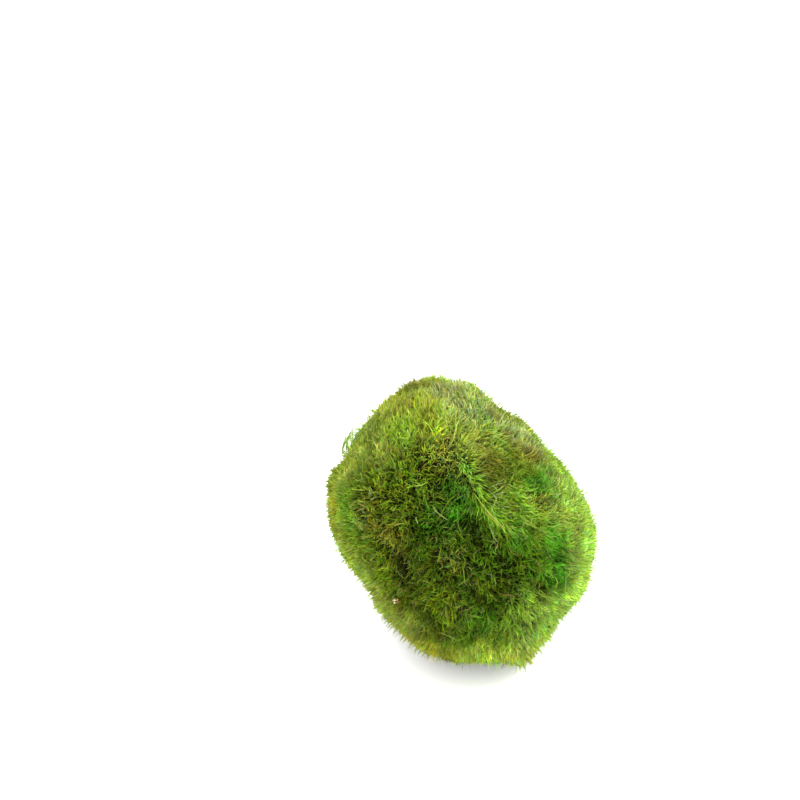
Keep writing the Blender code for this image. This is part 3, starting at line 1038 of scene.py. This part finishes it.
class Nodes:
    """The node tree of a material or a world, with short ways to add to it."""

    def __init__(self, owner):
        owner.use_nodes = True
        self.tree = owner.node_tree
        self.tree.nodes.clear()

    def add(self, kind, values=(), links=(), **properties):
        """A new node: pairs of socket and value, or of socket and what feeds it, and properties."""
        made = self.tree.nodes.new("ShaderNode" + kind)
        for key, value in properties.items():
            setattr(made, key, value)
        for socket, value in values:
            made.inputs[socket].default_value = value
        for socket, source in links:
            self.tree.links.new(source, made.inputs[socket])
        return made

    def noise(self, scale, detail):
        """Noise over the object's own coordinates."""
        place = self.add("TexCoord").outputs["Object"]
        values = (("Scale", scale), ("Detail", detail))
        return self.add("TexNoise", values, (("Vector", place),)).outputs["Fac"]

    def ranged(self, value, before, after):
        """A value of one span as the same share of another."""
        spans = (("From Min", before[0]), ("From Max", before[1]))
        spans += (("To Min", after[0]), ("To Max", after[1]))
        return self.add("MapRange", spans, (("Value", value),)).outputs["Result"]

    def mottled(self, mottle):
        """Two colours that change with noise."""
        noise = self.noise(mottle.scale, mottle.detail)
        ramp = self.add("ValToRGB", links=(("Fac", noise),))
        for element, stop, colour in zip(ramp.color_ramp.elements, mottle.stops, mottle.colours):
            element.position = stop
            element.color = (*linear(colour), 1.0)
        return ramp.outputs["Color"]

    def principled(self, colour, finish):
        """The shader of a colour with a finish: uneven gloss and fine relief."""
        gloss = self.noise(finish.gloss_scale, NOISE_DETAIL)
        relief = self.noise(finish.relief_scale, finish.detail)
        values = (("Strength", finish.strength), ("Distance", finish.height))
        bump = self.add("Bump", values, (("Height", relief),))
        links = (
            ("Base Color", colour),
            ("Roughness", self.ranged(gloss, NOISE_SPAN, finish.roughness)),
            ("Normal", bump.outputs["Normal"]),
        )
        values = (("Specular IOR Level", finish.specular),)
        return self.add("BsdfPrincipled", values, links).outputs["BSDF"]

    def end(self, kind, shader):
        """The tree's output, fed by a shader."""
        self.add(kind, links=(("Surface", shader),))


def pile_material():
    """Filaments: each has its own colour, darker at the root as painted shade of the pile, with
    cells that vary along it, a soft gloss, and light that comes through."""
    material = bpy.data.materials.new("moss_filaments")
    nodes = Nodes(material)
    colour = nodes.add("Attribute", attribute_name="pile_colour").outputs["Color"]
    cells = nodes.ranged(nodes.noise(CELL_SCALE, NOISE_DETAIL), NOISE_SPAN, CELL_LIGHT)
    links = ((0, colour), ("Scale", cells))
    varied = nodes.add("VectorMath", links=links, operation="SCALE").outputs["Vector"]
    surface = nodes.principled(varied, PILE_FINISH)
    through = nodes.add("BsdfTranslucent", links=(("Color", varied),)).outputs["BSDF"]
    links = ((1, surface), (2, through))
    mixed = nodes.add("MixShader", (("Fac", LIGHT_THROUGH),), links)
    nodes.end("OutputMaterial", mixed.outputs["Shader"])
    return material


def mottled_material(name, mottle, finish):
    """A material whose colour changes with noise."""
    material = bpy.data.materials.new(name)
    nodes = Nodes(material)
    nodes.end("OutputMaterial", nodes.principled(nodes.mottled(mottle), finish))
    return material


def make_floor():
    """The plain pale floor."""
    material = bpy.data.materials.new("floor")
    nodes = Nodes(material)
    values = (
        ("Base Color", FLOOR_WHITE),
        ("Roughness", FLOOR_ROUGHNESS),
        ("Specular IOR Level", FLOOR_SPECULAR),
        ("Emission Color", WHITE),
        ("Emission Strength", FLOOR_GLOW),
    )
    shader = nodes.add("BsdfPrincipled", values)
    nodes.end("OutputMaterial", shader.outputs["BSDF"])
    build = bmesh.new()
    bmesh.ops.create_grid(build, x_segments=1, y_segments=1, size=FLOOR_HALF_SIDE)
    mesh = mesh_from(build, "floor")
    mesh.materials.append(material)
    floor = add_object("floor", mesh)


def make_lamp(name, place, target, watts):
    """A soft square lamp that faces the ball."""
    data = bpy.data.lights.new(name, "AREA")
    data.shape = "SQUARE"
    data.size = LAMP_SIDE
    data.energy = watts
    lamp = add_object(name, data)
    lamp.location = place
    lamp.rotation_mode = "QUATERNION"
    lamp.rotation_quaternion = (Vector(target) - Vector(place)).to_track_quat("-Z", "Y")


def make_world():
    """A room that is white to the camera, and a softer fill light on the ball."""
    world = bpy.data.worlds.new("studio")
    bpy.context.scene.world = world
    nodes = Nodes(world)
    way = nodes.add("TexCoord").outputs["Generated"]
    facing = nodes.add("VectorMath", ((1, DIM_SIDE),), ((0, way),), operation="DOT_PRODUCT")
    strengths = (BRIGHT_STRENGTH, DIM_STRENGTH)
    strength = nodes.ranged(facing.outputs["Value"], (0.0, DIMMEST), strengths)
    fill = nodes.add("Background", (("Color", WHITE),), (("Strength", strength),))
    seen = nodes.add("Background", (("Color", WHITE), ("Strength", 1.0)))
    ray = nodes.add("LightPath").outputs["Is Camera Ray"]
    links = (("Fac", ray), (1, fill.outputs["Background"]), (2, seen.outputs["Background"]))
    mixed = nodes.add("MixShader", links=links)
    nodes.end("OutputWorld", mixed.outputs["Shader"])


def main():
    rng = np.random.default_rng(SEED)
    envelope = Envelope("moss_ball")
    eye = Eye(envelope.middle)
    eye.make_camera()
    pelt = Pelt(envelope, eye, SEED + 2)
    tufts = Tufts(envelope, pelt, rng)
    grain_low, grain_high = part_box("sand_grain")
    grain_middle = np.array((grain_low + grain_high) / 2.0)

    grown = [grow(envelope, pelt, tufts, layer, rng) for layer in LAYERS]
    grown.append(grow_strays(envelope, pelt, rng))
    grown.append(grow_long_strands(envelope, eye, rng))
    grown.append(grow_sprig(envelope, eye, rng))
    layers = [clear_of_things(filaments, grain_middle) for filaments in grown]
    make_pile(layers, envelope.middle, pile_material(), rng)
    make_mat(envelope, mottled_material("moss_mat_shade", MAT_SHADE_MOTTLE, MAT_FINISH), rng)
    grain = mottled_material("sand_grain", GRAIN_MOTTLE, GRAIN_FINISH)
    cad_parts["sand_grain"].material_slots[0].material = grain

    make_floor()
    for name, place, watts in LAMPS:
        make_lamp(name, place, envelope.middle, watts)
    make_world()
    bpy.context.scene.view_settings.view_transform = "Standard"


main()
